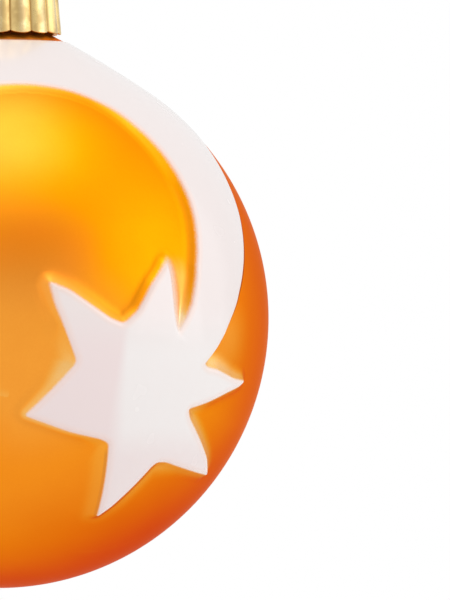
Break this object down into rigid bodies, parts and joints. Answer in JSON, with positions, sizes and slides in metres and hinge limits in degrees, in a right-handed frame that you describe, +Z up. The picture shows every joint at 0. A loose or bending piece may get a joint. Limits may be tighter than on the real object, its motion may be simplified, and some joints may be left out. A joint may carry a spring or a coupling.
{
  "type": "glass ball ornament",
  "caption": "Hanging satin amber glass ball ornament with a raised white comet star, a fluted metal cap and a spring wire hanger that draws out of the neck.",
  "frame": {"origin": "where a hook bears, on the inside of the top of the wire loop", "axes": "+Z up through the ball's neck; -Y is the side that shows the star, and +X is to the right of somebody who looks at it"},
  "size_m": [0.0798, 0.08, 0.1029],
  "materials": {
    "amber_glass": "satin lacquer, silvered inside",
    "white_enamel": "glossy white enamel",
    "cap_brass": "pressed, bright",
    "spring_wire": "drawn wire"
  },
  "bodies": {
    "hanger": {"wire_loop": "spring_wire"},
    "left_leg": {"leg_left": "spring_wire"},
    "right_leg": {"leg_right": "spring_wire"},
    "cap": {"cap": "cap_brass"},
    "ball": {"glass_ball": "amber_glass", "star_and_tail": "white_enamel"}
  },
  "joints": [
    {"name": "hanger_pull", "type": "slide", "parent": "hanger", "child": "cap", "axis": [0, 0, -1], "range_m": [0, 0.03]},
    {"name": "ball_turn", "type": "hinge", "parent": "cap", "child": "ball", "pos_m": [0, 0, -0.06193], "axis": [0, 0, 1], "continuous": true},
    {"name": "left_leg_squeeze", "type": "hinge", "parent": "hanger", "child": "left_leg", "pos_m": [-0.0015, 0, -0.012], "axis": [0, -1, 0], "range_deg": [0, 15.5]},
    {"name": "right_leg_squeeze", "type": "hinge", "parent": "hanger", "child": "right_leg", "pos_m": [0.0015, 0, -0.012], "axis": [0, 1, 0], "range_deg": [0, 15.5]}
  ],
  "couplings": [
    {"joint": "left_leg_squeeze", "follows": "hanger_pull", "rad_per_m": 8.9786},
    {"joint": "right_leg_squeeze", "follows": "hanger_pull", "rad_per_m": 8.9786}
  ]
}
